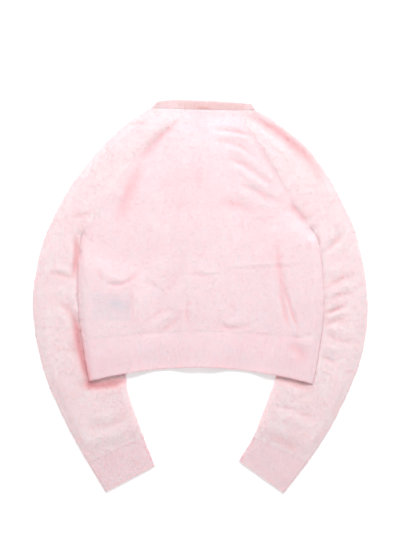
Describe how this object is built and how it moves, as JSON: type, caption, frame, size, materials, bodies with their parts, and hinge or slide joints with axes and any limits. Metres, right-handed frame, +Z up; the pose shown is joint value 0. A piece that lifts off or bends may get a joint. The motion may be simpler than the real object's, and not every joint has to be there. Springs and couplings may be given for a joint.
{
  "type": "fluffy cardigan",
  "caption": "Cropped fluffy knit cardigan with raglan sleeves, ribbed neck, cuffs and hem, laid flat with its back up and its sleeves folded in under the body.",
  "frame": {"origin": "centre of the garment's plan on the surface that it lies on", "axes": "+Z up from the surface, +Y from the hem towards the neck, the wearer's left at -X because the back is up"},
  "size_m": [0.603, 0.707, 0.0117],
  "materials": {
    "fluffy_knit": "matte",
    "rib_knit": "matte",
    "button_shell": "gloss",
    "satin_label": "satin"
  },
  "bodies": {
    "root": {"back": "fluffy_knit", "front_left": "fluffy_knit", "front_right": "fluffy_knit", "sleeve_left": "fluffy_knit", "sleeve_right": "fluffy_knit", "cuff_left": "rib_knit", "cuff_right": "rib_knit", "hem_rib_back": "rib_knit", "hem_rib_front_left": "rib_knit", "hem_rib_front_right": "rib_knit", "button_band_left": "rib_knit", "buttonhole_band_right": "rib_knit", "neckband": "rib_knit", "button_1": "button_shell", "button_2": "button_shell", "button_3": "button_shell", "button_4": "button_shell", "button_5": "button_shell", "button_6": "button_shell", "neck_label": "satin_label", "care_label": "satin_label"}
  },
  "joints": []
}
